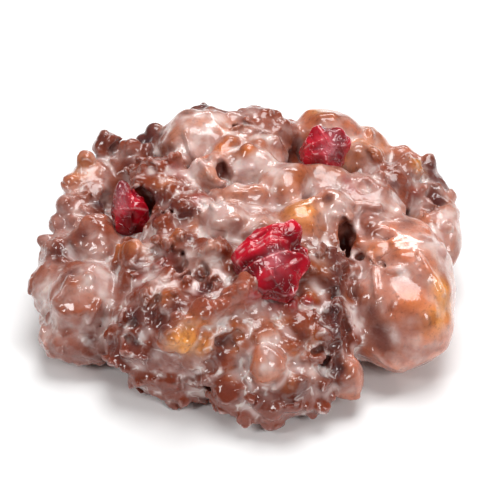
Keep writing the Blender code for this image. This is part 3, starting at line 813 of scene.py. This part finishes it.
def grown_dough():
    """The dough as a field of lobes, crags and pebbles, and the matrices of the pits and holes to be taken
    out of it.
    """
    crags, pits = crags_and_pits(random.Random(SEED))
    corners = [matrix @ Vector(corner) for matrix in map(placed, DOUGH) for corner in BOX_CORNERS]
    low = [min(corner[i] for corner in corners) - MARGIN for i in range(3)]
    high = [max(corner[i] for corner in corners) + MARGIN for i in range(3)]
    low[2] = -MARGIN
    count = [int(math.ceil((b - a) / CELL)) + 1 for a, b in zip(low, high)]
    dough = Field(low, CELL, np.full(count, FAR, np.float32))
    for group, blend in zip(GROUPS, GROUP_BLENDS):
        part = Field(low, CELL, np.full(count, FAR, np.float32))
        for lobe in group:
            part.add_ball(placed(lobe), blend)
        dough.value = soft_min(dough.value, part.value, LOBE_BLEND)
    for matrix in crags:
        dough.add_ball(matrix, CRAG_BLEND)
    dough.value += SHRINK

    vertices, quads = dough.skin()
    outward = outward_at(vertices, quads)
    draw = np.random.default_rng(SEED)
    density = lobe_values(vertices, [LOOKS[lobe.look].pebbles for lobe in DOUGH])
    turns = random.Random(SEED)
    for vertex, size in pebble_places(vertices, density, draw):
        point, direction = Vector(vertices[vertex]), Vector(outward[vertex])
        middle = point - direction * size * PEBBLE_SUNK
        upright = direction.to_track_quat("Z", "Y").to_matrix().to_4x4()
        sizes = [size * turns.uniform(*spread) for spread in (PEBBLE_WIDE, PEBBLE_WIDE, PEBBLE_TALL)]
        turn = turned(x=turns.gauss(0, PEBBLE_LEAN), y=turns.gauss(0, PEBBLE_LEAN), z=turns.uniform(0, 180))
        dough.add_ball(ball(middle, sizes, upright @ turn), PEBBLE_BLEND, far=PEBBLE_FAR)
    return dough, pits + [placed(hole) for hole in HOLES]


def seen(field, places):
    """Where sight lines through places in the front view meet the field's skin, without those that miss."""
    tilt = math.radians(CAMERA_ELEVATION)
    target, places = np.array(CAMERA_TARGET), np.array(places, np.float64)
    eye = target + np.array((0, -math.cos(tilt), math.sin(tilt))) * CAMERA_DISTANCE / MM
    across, up = np.array((1, 0, 0)), np.array((0, math.sin(tilt), math.cos(tilt)))
    aims = target + places[:, :1] * across + places[:, 1:] * up
    ways = (aims - eye) / np.linalg.norm(aims - eye, axis=1, keepdims=True)
    steps = CAMERA_DISTANCE / MM + np.arange(-SIGHT_REACH, SIGHT_REACH, CELL)
    lines = eye + ways[:, None] * steps[:, None]
    inside = field.sample(lines.reshape(-1, 3)).reshape(lines.shape[:2]) < 0
    met = inside.any(axis=1)
    return lines[np.arange(len(lines)), inside.argmax(axis=1)][met]


def on_skin(field, points):
    """The points moved onto the field's skin, with the outward directions there."""
    points = np.array(points, np.float32)
    for _ in range(SKIN_STEPS):
        slope = np.stack(
            [field.sample(points + step) - field.sample(points - step) for step in np.eye(3) * CELL], axis=1
        )
        outward = slope / (np.linalg.norm(slope, axis=1, keepdims=True) + TINY)
        points = points - outward * np.clip(field.sample(points), -FAR, FAR)[:, None]
    return points, outward


def add_lumps(field, lumps):
    """Balls half sunk in the field at chosen places."""
    for size, sunk, places in lumps:
        for point, outward in zip(*on_skin(field, seen(field, places))):
            field.add_ball(ball(point - outward * size * sunk, (size,) * 3), PEBBLE_BLEND)


def dips(glaze):
    """Matrices of the hollows at chosen places."""
    turns = random.Random(SEED)
    for reach, depth, places in DIPS:
        for point, outward in zip(*on_skin(glaze, seen(glaze, places))):
            outward = Vector(outward)
            upright = Matrix.Translation(point) @ outward.to_track_quat("Z", "Y").to_matrix().to_4x4()
            for _ in range(DIP_BALLS):
                aside = [turns.gauss(0, DIP_LOOSE * reach) for _ in range(2)]
                sizes = [reach * turns.uniform(*DIP_SHARE) for _ in range(3)]
                yield upright @ ball((*aside, sizes[2] - depth * turns.uniform(*DIP_DEPTHS)), sizes)


def hollow_out(fields, shapes):
    """Takes the hollows, made uneven, out of the fields."""
    hollow = Field(fields[0].low, CELL, np.full(fields[0].value.shape, FAR, np.float32))
    for matrix in shapes:
        hollow.add_ball(matrix, PIT_BLEND)
    warp(hollow, HOLLOW_WARPS)
    for field in fields:
        field.value = -soft_min(-field.value, hollow.value, HOLLOW_BLEND)


def pour_runs(glaze):
    """Thick runs of glaze along chosen lines, each thinner towards its ends."""
    for width, line in RUNS:
        line = np.array(line)
        lengths = np.linalg.norm(np.diff(line, axis=0), axis=1)
        along = np.concatenate([[0], np.cumsum(lengths)])
        steps = np.linspace(0, along[-1], int(along[-1] / RUN_STEP) + 2)
        beads = np.stack([np.interp(steps, along, line[:, i]) for i in range(2)], axis=1)
        rows = [np.convolve(np.pad(row, RUN_ROUND, "edge"), ROUNDING, "valid") for row in beads.T]
        beads = np.stack(rows, axis=1)
        beads += RUN_SWAY * np.stack([lattice_noise(beads, RUN_SWAY_SIZE, way) for way in (1, 2)], axis=1)
        beads, outward = on_skin(glaze, seen(glaze, beads))
        for bead, way, step in zip(beads, outward, np.linspace(0, 1, len(beads))):
            size = width * (RUN_ENDS + (1 - RUN_ENDS) * math.sin(math.pi * step))
            glaze.add_ball(ball(bead - way * size * RUN_SINK, (size,) * 3), RUN_BLEND, far=PEBBLE_FAR)


def warp(field, warps):
    """Makes round shapes uneven, by taking each value from a little to one side."""
    near = np.abs(field.value) < FAR * NEAR
    points = field.points(near)
    aside = np.zeros_like(points)
    for axis in range(3):
        aside[:, axis] = sum(reach * lattice_noise(points, size, axis + seed) for size, reach, seed in warps)
    field.value[near] = field.sample(points + aside)


def roughen(dough):
    """Small random bulges all over the skin."""
    near = np.abs(dough.value) < FAR / 2
    points = dough.points(near)
    strength = coarse_values(dough, [LOOKS[lobe.look].wobble for lobe in DOUGH]).sample(points)
    bulge = sum(depth * lattice_noise(points, size, size_seed) for size, depth, size_seed in WOBBLES)
    for size, depth, size_seed in CRACKS:
        bulge += depth * np.maximum(0, 1 - np.abs(lattice_noise(points, size, size_seed)) / CRACK_WIDTH)
    dough.value[near] += strength * bulge


def level(field):
    """Cuts away what lies under the table's top."""
    heights = field.low[2] + np.arange(field.value.shape[2], dtype=np.float32) * field.cell
    field.value = np.maximum(field.value, -heights)


def glazed(dough):
    """The skin of the glaze: it follows the dough, and fills the creases that are finer than its spread."""
    lift = coarse_values(dough, [LOOKS[lobe.look].glaze for lobe in DOUGH])
    smooth = dough.blurred(GLAZE_SPREAD)
    near = np.abs(dough.value) < FAR / 2
    points = dough.points(near)
    patchy = 1 + GLAZE_PATCHY * lattice_noise(points, GLAZE_PATCH, SEED)
    top = smooth.value[near] - lift.sample(points) * patchy
    glaze = dough.copy()
    glaze.value[near] = soft_min(glaze.value[near], top, GLAZE_BLEND)
    return glaze


def linked(name, data):
    """A new object in the scene, from a mesh, a light or a camera."""
    made = bpy.data.objects.new(name, data)
    bpy.context.scene.collection.objects.link(made)
    return made


def mesh_object(name, vertices, faces):
    """A smooth-shaded mesh from points in millimetres of the layout, moved to the frame."""
    mesh = bpy.data.meshes.new(name)
    mesh.from_pydata(((vertices + np.array(SHIFT)) * MM).tolist(), [], faces.tolist())
    mesh.validate()
    mesh.shade_smooth()
    return linked(name, mesh)


def thin_out(obj, triangles):
    """Brings the mesh down to this many triangles, fewest where it is flattest."""
    now = sum(len(face.vertices) - 2 for face in obj.data.polygons)
    decimate = obj.modifiers.new("Thin", "DECIMATE")
    decimate.ratio = min(1, triangles / now)
    decimate.use_collapse_triangulate = True
    bpy.context.view_layer.update()
    mesh = bpy.data.meshes.new_from_object(obj.evaluated_get(bpy.context.evaluated_depsgraph_get()))
    obj.modifiers.clear()
    obj.data = mesh


def keep_largest_shell(obj):
    """Drops loose scraps and inner bubbles."""
    bm = bmesh.new()
    bm.from_mesh(obj.data)
    left, shells = set(bm.verts), []
    while left:
        front = {left.pop()}
        shell = set(front)
        while front:
            front = {edge.other_vert(vertex) for vertex in front for edge in vertex.link_edges} & left
            left -= front
            shell |= front
        shells.append(shell)
    largest = max(shells, key=len)
    bmesh.ops.delete(bm, geom=[vertex for vertex in bm.verts if vertex not in largest], context="VERTS")
    bm.to_mesh(obj.data)
    bm.free()


def layout_points(obj):
    """The object's vertices, in millimetres of the layout."""
    flat = np.empty(len(obj.data.vertices) * 3, np.float32)
    obj.data.vertices.foreach_get("co", flat)
    return flat.reshape(-1, 3) / MM - np.array(SHIFT)


def mark(obj, name, values):
    """Stores a number or a colour for each vertex, for the material."""
    values = np.asarray(values, np.float32)
    if values.ndim == 1:
        obj.data.attributes.new(name, "FLOAT", "POINT").data.foreach_set("value", values)
    else:
        full = np.pad(values, ((0, 0), (0, 1)), constant_values=1)
        obj.data.attributes.new(name, "FLOAT_COLOR", "POINT").data.foreach_set("color", full.ravel())


def make_fritter():
    """The glazed dough, with what its material needs to know at each vertex."""
    dough, hollows = grown_dough()
    warp(dough, WARPS)
    add_lumps(dough, LUMPS)
    roughen(dough)
    glaze = glazed(dough)
    even = glaze.copy()
    pour_runs(glaze)
    add_lumps(glaze, BEADS)
    whole = glaze.copy()
    hollow_out((dough, glaze), [*hollows, *dips(glaze)])
    level(glaze)
    shade_depth_field = Field(dough.low, dough.cell, np.clip(dough.value, -FAR, FAR)).blurred(SHADE_DEPTH_SPREAD)
    fritter = mesh_object("dough", *glaze.skin())
    thin_out(fritter, FRITTER_TRIANGLES)
    keep_largest_shell(fritter)
    points = layout_points(fritter)
    thickness = dough.blurred(THICKNESS_SPREAD).sample(points)
    mark(fritter, "glaze", thickness - RUN_CLEAR * np.maximum(even.sample(points), 0))
    # How enclosed each point is, and how deep it lies in a hollow: these drive the painted shade in the
    # material
    mark(fritter, "depth", -shade_depth_field.sample(points))
    mark(fritter, "sunk", -whole.sample(points))
    mark(fritter, "valley", -glaze.blurred(VALLEY_SPREAD).sample(points))
    shares = lobe_shares(points, LOOK_BLEND)
    looks = [LOOKS[lobe.look] for lobe in DOUGH]
    crust = shares @ np.array([look.crust for look in looks])
    milk = shares @ np.array([look.milk for look in looks])
    for kind, reach, strength, places in SPOTS:
        colour, milky = PATCHES[kind]
        for place in seen(glaze, places):
            near = strength * np.exp(-((np.linalg.norm(points - np.array(place), axis=1) / reach) ** 2))
            crust += near[:, None] * (np.array(colour) - crust)
            milk += near * (milky - milk)
    mark(fritter, "grain", shares @ np.array([look.wobble for look in looks]))
    mark(fritter, "crust", crust)
    mark(fritter, "milk", milk)
    return fritter


def cherry_radius(cherry, direction):
    """How far the skin lies along a direction, as a share of the half sizes."""
    way = turned(z=cherry.twist).to_3x3() @ direction
    near = sum((max(0.0, way.dot(Vector(side).normalized())) / far) ** FLAT_EDGE for side, far in FLATS)
    reach = min(FLAT_MOST, near ** (-1 / FLAT_EDGE))
    for corner in cherry.corners:
        to_corner = Vector((corner.x, corner.y, corner.z)).normalized()
        reach += corner.reach * math.exp((direction.dot(to_corner) - 1) * corner.sharpness)
    for spread, share in zip(FOLD_SPREAD, FOLD_SHARE):
        place = direction * spread + Vector((cherry.seed, 0, 0))
        reach += cherry.folds * share * (1 - FOLD_SHARPNESS * abs(noise.noise(place)))
    return reach


def folded(name, directions):
    """How far the folds of a cherry lift or sink its skin along each direction, and how near a crest is, for
    the pale line painted there as a highlight.
    """
    rise, crest = np.zeros(len(directions)), np.zeros(len(directions))
    for fold in FOLDS[name]:
        start, end, bow = (np.array(Vector(way).normalized()) for way in (fold.start, fold.end, fold.bow))
        share = np.linspace(0, 1, FOLD_STEPS)[:, None]
        line = start * (1 - share) + end * share + bow * fold.share * 4 * share * (1 - share)
        line /= np.linalg.norm(line, axis=1, keepdims=True)
        angle = np.degrees(np.arccos(np.clip(directions @ line.T, -1, 1)))
        taper = np.sin(np.pi * (share.T * (1 - 2 * FOLD_ENDS) + FOLD_ENDS)) ** 0.5
        rise += fold.height * (taper * np.exp(-((angle / fold.width) ** FOLD_EDGE))).max(axis=1)
        if fold.height > 0:
            crest = np.maximum(crest, (taper * np.exp(-((angle / CREST_HIGHLIGHT_WIDTH) ** 2))).max(axis=1))
    return rise, crest


def make_cherry(cherry):
    """One shrunken cherry, with finer folds than the solid's."""
    bm = bmesh.new()
    bmesh.ops.create_icosphere(bm, subdivisions=CHERRY_DETAIL, radius=1)
    directions = np.array([vertex.co.normalized() for vertex in bm.verts])
    rises, crest_highlights = folded(cherry.name, directions)
    for vertex, rise in zip(bm.verts, rises):
        direction = vertex.co.normalized()
        reach = cherry_radius(cherry, direction) + rise
        place = direction * WRINKLE_SPREAD + Vector((cherry.seed, WRINKLE_SEED, 0))
        place += Vector([noise.noise(place + Vector(side)) for side in WRINKLE_SIDES]) * WRINKLE_WARP
        reach += WRINKLE_DEPTH * (1 - FOLD_SHARPNESS * abs(noise.noise(place)))
        vertex.co = direction * reach
    bmesh.ops.transform(bm, matrix=Matrix.Translation(SHIFT) @ placed(cherry), verts=bm.verts)
    bmesh.ops.scale(bm, vec=(MM, MM, MM), verts=bm.verts)
    mesh = bpy.data.meshes.new(cherry.name + "_skin")
    bm.to_mesh(mesh)
    bm.free()
    mesh.shade_smooth()
    fruit = linked(mesh.name, mesh)
    mark(fruit, "rise", rises)
    mark(fruit, "crest", crest_highlights)
    way, width = SMEARS[cherry.name]
    away = np.degrees(np.arccos(np.clip(directions @ np.array(Vector(way).normalized()), -1, 1)))
    mark(fruit, "smear", np.exp(-((away / width) ** 2)))
    return fruit


class Nodes:
    """A material's nodes, added one by one and linked by position."""

    def __init__(self, name):
        self.material = bpy.data.materials.new(name)
        self.material.use_nodes = True
        self.tree = self.material.node_tree
        self.shader = self.tree.nodes["Principled BSDF"]

    def add(self, kind, inputs=(), **settings):
        node = self.tree.nodes.new(kind)
        for key, value in settings.items():
            setattr(node, key, value)
        for key, value in dict(inputs).items():
            self.put(node.inputs[key], value)
        return node

    def put(self, socket, value):
        if isinstance(value, bpy.types.NodeSocket):
            self.tree.links.new(value, socket)
        elif isinstance(value, tuple) and len(value) == 3 and len(socket.default_value) == 4:
            socket.default_value = (*value, 1)
        else:
            socket.default_value = value

    def attribute(self, name, output="Fac"):
        return self.add("ShaderNodeAttribute", attribute_name=name).outputs[output]

    def math(self, operation, a, b=0.0, c=0.0):
        node = self.add("ShaderNodeMath", {0: a, 1: b, 2: c}, operation=operation)
        return node.outputs[0]

    def ramp(self, value, start, end, low=0.0, high=1.0, smooth=True):
        """value brought from the range start..end to low..high."""
        node = self.add(
            "ShaderNodeMapRange",
            {"Value": value, "From Min": start, "From Max": end, "To Min": low, "To Max": high},
            interpolation_type="SMOOTHSTEP" if smooth else "LINEAR",
        )
        return node.outputs[0]

    def mix(self, share, a, b, blend="MIX"):
        node = self.add("ShaderNodeMix", data_type="RGBA", blend_type=blend)
        for key, value in ((0, share), (6, a), (7, b)):
            self.put(node.inputs[key], value)
        return node.outputs[2]

    def noise(self, size, detail=2.0, roughness=0.5, distortion=0.0):
        """Noise with features of about size millimetres, fixed to the object."""
        place = self.add("ShaderNodeTexCoord").outputs["Object"]
        inputs = {
            "Vector": place,
            "Scale": 1 / (size * MM),
            "Detail": detail,
            "Roughness": roughness,
            "Distortion": distortion,
        }
        return self.add("ShaderNodeTexNoise", inputs).outputs["Fac"]

    def line(self, noise, width):
        """1 along the lines where the noise is at its middle value, down to 0 that far from it."""
        away = self.math("ABSOLUTE", self.math("SUBTRACT", self.noise(*noise), 0.5))
        return self.ramp(away, 0.0, width, 1.0, 0.0)

    def bump(self, height, strength, distance, normal=None):
        inputs = {"Height": height, "Strength": strength, "Distance": distance * MM}
        if normal is not None:
            inputs["Normal"] = normal
        return self.add("ShaderNodeBump", inputs).outputs[0]

    def finish(self, **inputs):
        for key, value in inputs.items():
            self.put(self.shader.inputs[key.replace("_", " ")], value)
        return self.material


def glaze_material():
    """Brown crust under a milky glaze that lies thickest in the creases, with painted shade in hollows and
    pale lines painted as highlights along glaze ridges.
    """
    nodes = Nodes("glazed_crust_look")
    thickness = nodes.attribute("glaze")
    depth = nodes.attribute("depth")
    milk = nodes.attribute("milk")
    crust = nodes.attribute("crust", "Color")

    blotches, specks = nodes.noise(*BLOTCHES), nodes.noise(*SPECKS)
    crust = nodes.mix(nodes.ramp(blotches, *BLOTCH_DARK), crust, CRUST_DARK)
    crust = nodes.mix(nodes.ramp(specks, *SPECK_DARK), crust, CRUST_DEEP)
    # Painted shade: the crust darkens towards the cavity colour, and its glaze thins, where the skin is
    # enclosed by dough or sunk into a hollow
    sunk = nodes.ramp(nodes.attribute("sunk"), *SUNK_SHADE)
    hollow = nodes.math("MAXIMUM", nodes.ramp(depth, *DEPTH_SHADE), sunk)
    crust = nodes.mix(nodes.math("MULTIPLY", hollow, HOLLOW_SHADE_MOST), crust, CAVITY_SHADE)

    wisps = nodes.noise(*WISPS)
    coarse = nodes.ramp(nodes.attribute("grain"), *GRAIN_COARSE)
    film = nodes.math("MULTIPLY", milk, nodes.ramp(nodes.noise(*DRIFTS), *DRIFT_FILM))
    film = nodes.math("MULTIPLY_ADD", nodes.attribute("valley"), VALLEY_MILK, film)
    film = nodes.math("MULTIPLY", film, nodes.ramp(wisps, *WISP_FILM))
    pooled = nodes.math("MULTIPLY", nodes.ramp(thickness, *THICK_POOL), nodes.ramp(milk, *MILK_POOL))
    # Pale lines along glaze ridges, painted as highlights: whitened towards MILK_WHITE, with a bump of their
    # own below
    web_highlight = nodes.math("MULTIPLY", nodes.line(WEBS, WEB_WIDTH), nodes.ramp(thickness, *THICK_WEB))
    web_highlight = nodes.math("MULTIPLY", web_highlight, nodes.ramp(wisps, *WISP_WEB))
    web_highlight = nodes.math("MULTIPLY", web_highlight, coarse)
    film = nodes.math("MULTIPLY_ADD", web_highlight, WEB_HIGHLIGHT_MILK, nodes.math("MAXIMUM", film, pooled))
    cover = nodes.math("MULTIPLY", film, nodes.ramp(hollow, *SHADE_COVER))
    cover = nodes.math("MINIMUM", nodes.math("MAXIMUM", cover, 0.0), COVER_MOST)
    milky = nodes.mix(nodes.ramp(wisps, *WISP_CREAM), MILK_PINK, MILK_CREAM)
    white = nodes.math("MAXIMUM", nodes.ramp(thickness, *THICK_WHITE), web_highlight)
    colour = nodes.mix(cover, crust, nodes.mix(white, milky, MILK_WHITE))

    grain = nodes.noise(*GRAIN)
    ripples = nodes.math("MULTIPLY", nodes.noise(*RIPPLES), coarse)
    bumps = nodes.bump(ripples, *RIPPLE_BUMP, nodes.bump(grain, *GRAIN_BUMP))
    calm = nodes.math("MULTIPLY", ripples, nodes.ramp(pooled, *POOL_CALM))
    wet = nodes.bump(calm, *WET_RIPPLE_BUMP, nodes.bump(grain, *WET_GRAIN_BUMP))
    wet = nodes.bump(web_highlight, *WEB_BUMP, wet)
    return nodes.finish(
        Base_Color=colour,
        Roughness=nodes.ramp(specks, *SPECK_ROUGHNESS),
        Normal=bumps,
        Subsurface_Weight=0.35,
        Subsurface_Radius=(1.0, 0.45, 0.3),
        Subsurface_Scale=1.6 * MM,
        Specular_IOR_Level=0.1,
        Coat_Weight=1.0,
        Coat_Roughness=0.12,
        Coat_IOR=1.52,
        Coat_Normal=wet,
    )


def cherry_material():
    """Deep red, wet and see-through at its thin folds, with smears of pink glaze, painted light on the proud
    folds, painted shade in the creases and pale highlight lines painted along the crests.
    """
    nodes = Nodes("candied_cherry_look")
    smears = nodes.noise(*CHERRY_SMEARS)
    # Painted light and shade: brighter on the proud folds and darker in the creases, mixed with random
    # blotches
    tone = nodes.math("MULTIPLY_ADD", nodes.attribute("rise"), CHERRY_RISE_SHADING, nodes.noise(*CHERRY_BLOTCHES))
    colour = nodes.mix(nodes.ramp(tone, *TONE_BRIGHT), CHERRY_DEEP, CHERRY_BRIGHT)
    milky = nodes.math("MULTIPLY", nodes.attribute("smear"), nodes.ramp(smears, *SMEAR_MILK))
    milky = nodes.math("MAXIMUM", milky, nodes.ramp(smears, *STRAY_MILK))
    colour = nodes.mix(milky, colour, CHERRY_SMEAR)
    # Pale lines painted as highlights along the crests of the folds, broken here and there
    broken = nodes.ramp(nodes.noise(*CHERRY_BREAKS), *LINE_BREAKS)
    pale = nodes.math("MULTIPLY", nodes.attribute("crest"), broken)
    colour = nodes.mix(nodes.math("MULTIPLY", pale, CHERRY_HIGHLIGHT_MOST), colour, CHERRY_HIGHLIGHT_LINE)
    ripples = nodes.bump(nodes.noise(*RIPPLES), *CHERRY_RIPPLE_BUMP)
    ripples = nodes.bump(nodes.line(CHERRY_CREASES, CREASE_WIDTH), *CHERRY_CREASE_BUMP, ripples)
    return nodes.finish(
        Base_Color=colour,
        Roughness=0.25,
        Specular_IOR_Level=0.05,
        Normal=ripples,
        Subsurface_Weight=0.5,
        Subsurface_Radius=(1.0, 0.12, 0.1),
        Subsurface_Scale=2.0 * MM,
        Coat_Weight=1.0,
        Coat_Roughness=0.05,
        Coat_IOR=1.5,
        Coat_Normal=ripples,
    )


def floor_material():
    nodes = Nodes("floor")
    tone = nodes.mix(nodes.noise(*FLOOR_MOTTLES), FLOOR_WHITE, tuple(c * FLOOR_VARIES for c in FLOOR_WHITE))
    return nodes.finish(Base_Color=tone, Roughness=FLOOR_ROUGHNESS)


def add_floor():
    bpy.ops.mesh.primitive_plane_add(size=FLOOR_SIZE, location=(0, 0, 0))
    floor = bpy.context.object
    floor.name = "floor"
    floor.data.materials.append(floor_material())


def aim(thing, place, target):
    """Puts a lamp or a camera in its place, looking at the target."""
    thing.location = place
    thing.rotation_euler = (Vector(target) - Vector(place)).to_track_quat("-Z", "Y").to_euler()


def add_light(name, place, size, power):
    light = bpy.data.lights.new(name, "AREA")
    light.shape = "ELLIPSE"
    light.size, light.size_y = size
    light.energy = power
    aim(linked(name, light), place, LIGHT_TARGET)


def add_world():
    world = bpy.data.worlds.new("studio")
    world.use_nodes = True
    sky = world.node_tree.nodes["Background"]
    sky.inputs["Color"].default_value = (1, 1, 1, 1)
    sky.inputs["Strength"].default_value = SKY
    bpy.context.scene.world = world


def add_camera():
    camera = bpy.data.cameras.new("camera")
    camera.lens, camera.sensor_width = CAMERA_LENS, CAMERA_SENSOR
    viewer = linked("camera", camera)
    target = (Vector(CAMERA_TARGET) + SHIFT) * MM
    up = math.radians(CAMERA_ELEVATION)
    aim(viewer, target + Vector((0, -math.cos(up), math.sin(up))) * CAMERA_DISTANCE, target)
    bpy.context.scene.camera = viewer


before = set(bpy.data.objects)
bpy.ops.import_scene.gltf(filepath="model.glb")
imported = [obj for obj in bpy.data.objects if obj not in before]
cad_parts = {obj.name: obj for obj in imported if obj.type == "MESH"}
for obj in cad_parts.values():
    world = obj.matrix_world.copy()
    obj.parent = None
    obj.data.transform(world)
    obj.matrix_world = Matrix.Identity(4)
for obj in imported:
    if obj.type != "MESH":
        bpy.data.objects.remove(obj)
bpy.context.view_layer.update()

crust_look, cherry_look = glaze_material(), cherry_material()
fritter = make_fritter()
fritter.data.materials.append(crust_look)
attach(fritter, "root")
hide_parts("fritter")

for cherry in CHERRIES:
    fruit = make_cherry(cherry)
    fruit.data.materials.append(cherry_look)
    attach(fruit, "root")
    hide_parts(cherry.name)

add_floor()
add_world()
for light in LIGHTS:
    add_light(*light)
add_camera()
bpy.context.scene.view_settings.view_transform = "Standard"
